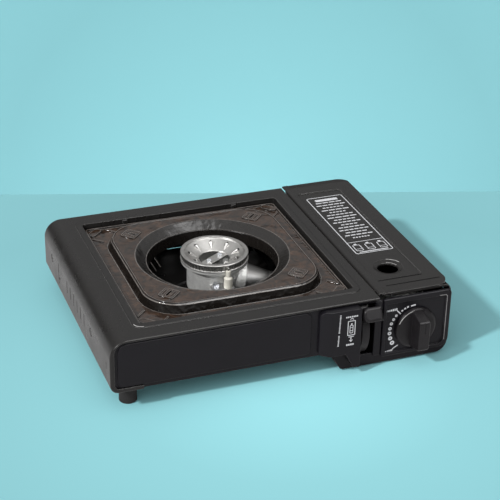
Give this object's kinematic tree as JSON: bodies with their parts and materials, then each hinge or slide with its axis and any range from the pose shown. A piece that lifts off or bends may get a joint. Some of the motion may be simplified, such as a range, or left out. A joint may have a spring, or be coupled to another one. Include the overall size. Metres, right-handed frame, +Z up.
{
  "type": "butane cassette stove",
  "caption": "Low table stove with a round burner in a square pan well, a lidded gas cartridge compartment, a turning flame knob and a lock lever.",
  "frame": {"origin": "middle of the box round the stove, on the table", "axes": "+X to the right along the front, +Y to the back, +Z up"},
  "size_m": [0.3466, 0.286, 0.083],
  "materials": {
    "satin_black": "satin powder coat",
    "panel_charcoal": "satin powder coat, darker",
    "enamel": "glossy vitreous enamel, brown-black",
    "zinc_sheet": "galvanised sheet",
    "zinc_tube": "bright galvanised",
    "cast_aluminium": "as cast, fine grain",
    "machined_aluminium": "turned rim, blasted dish",
    "zinc_screw": "zinc plated",
    "steel_wire": "drawn",
    "spring_steel": "blued",
    "ceramic": "glazed alumina",
    "brass": "turned",
    "lead_sleeve": "silicone sleeve",
    "rubber": "moulded",
    "black_plastic": "moulded, fine texture"
  },
  "bodies": {
    "stove_body": {"main_shell": "satin_black", "front_panel": "panel_charcoal", "lever_cover": "panel_charcoal", "knob_panel": "panel_charcoal", "rear_panel": "satin_black", "base_plate": "satin_black", "cartridge_tub": "satin_black", "partition_wall": "satin_black", "foot_left_front": "rubber", "foot_left_rear": "rubber", "foot_right_front": "rubber", "foot_right_rear": "rubber", "case_screws": "zinc_screw", "burner_cup": "cast_aluminium", "burner_cap": "machined_aluminium", "burner_screws": "zinc_screw", "burner_bracket": "satin_black", "mixing_tube": "zinc_tube", "air_shutter": "zinc_tube", "electrode_ceramic": "ceramic", "electrode_wire": "steel_wire", "electrode_bracket": "zinc_sheet", "electrode_screw": "zinc_screw", "ignition_lead": "lead_sleeve", "regulator_body": "cast_aluminium", "regulator_cover": "cast_aluminium", "regulator_screws": "zinc_screw", "gas_nozzle": "brass", "cartridge_connector": "cast_aluminium", "connector_seal": "rubber", "piezo_igniter": "black_plastic", "lever_pin": "steel_wire", "lever_bracket": "zinc_sheet", "cartridge_spring": "spring_steel", "lid_pin_front": "steel_wire", "lid_pin_rear": "steel_wire"},
    "lid": {"compartment_lid": "satin_black"},
    "pan": {"pan_support": "enamel", "pan_prong_1": "enamel", "pan_prong_2": "enamel", "pan_prong_3": "enamel", "pan_prong_4": "enamel"},
    "knob": {"control_knob": "black_plastic", "valve_spindle": "brass"},
    "lever": {"lock_lever": "black_plastic", "lever_drive_pin": "steel_wire"},
    "slide": {"cartridge_slide": "zinc_sheet"}
  },
  "joints": [
    {"name": "lid_hinge", "type": "hinge", "parent": "stove_body", "child": "lid", "pos_m": [0.0994, 0, 0.0756], "axis": [0, -1, 0], "range_deg": [0, 100]},
    {"name": "pan_lift", "type": "slide", "parent": "stove_body", "child": "pan", "axis": [0, 0, 1], "range_m": [0, 0.06]},
    {"name": "knob_turn", "type": "hinge", "parent": "stove_body", "child": "knob", "pos_m": [0.1355, -0.12, 0.0375], "axis": [0, -1, 0], "range_deg": [0, 140]},
    {"name": "lever_swing", "type": "hinge", "parent": "stove_body", "child": "lever", "pos_m": [0.085, -0.092, 0.042], "axis": [1, 0, 0], "range_deg": [0, 60]},
    {"name": "slide_travel", "type": "slide", "parent": "stove_body", "child": "slide", "axis": [0, -1, 0], "range_m": [0, 0.0086]}
  ],
  "couplings": [
    {"joint": "slide_travel", "follows": "lever_swing", "m_per_rad": 0.0081}
  ]
}
